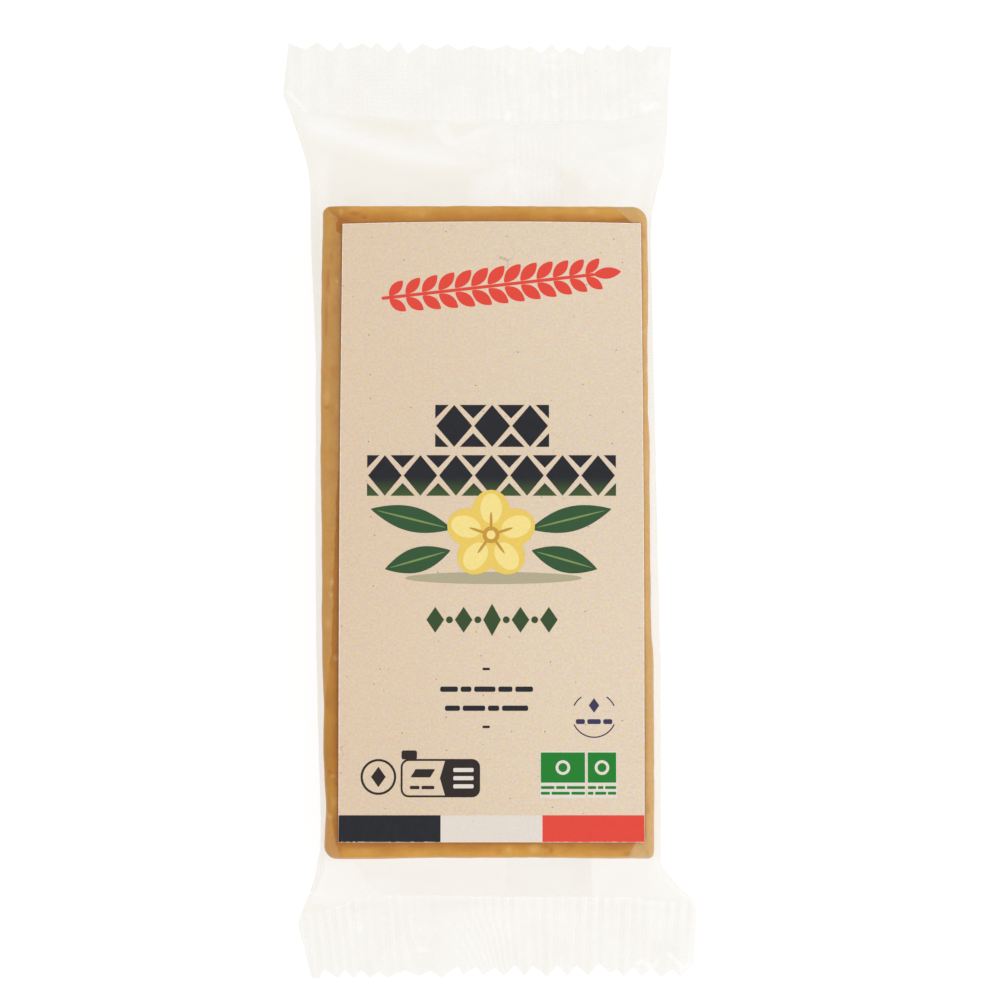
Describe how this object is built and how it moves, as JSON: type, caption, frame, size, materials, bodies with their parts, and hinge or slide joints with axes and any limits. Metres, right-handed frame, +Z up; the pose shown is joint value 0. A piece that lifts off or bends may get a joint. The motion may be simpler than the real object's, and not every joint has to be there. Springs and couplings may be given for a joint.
{
  "type": "marzipan block",
  "caption": "Flat block of marzipan sealed in clear film with crimped, zigzag-cut ends and a paper label on top.",
  "frame": {"origin": "middle of the pack's outline, on the surface that it lies on", "axes": "+X across the pack, +Y along it towards the head of the label, +Z up through the label"},
  "size_m": [0.1045, 0.2382, 0.015],
  "materials": {
    "marzipan": "satin golden-brown almond paste",
    "clear_film": "thin glossy clear film",
    "label_paper": "matt speckled beige paper"
  },
  "bodies": {
    "root": {"marzipan_block": "marzipan", "film_wrapper": "clear_film", "paper_label": "label_paper"}
  },
  "joints": []
}
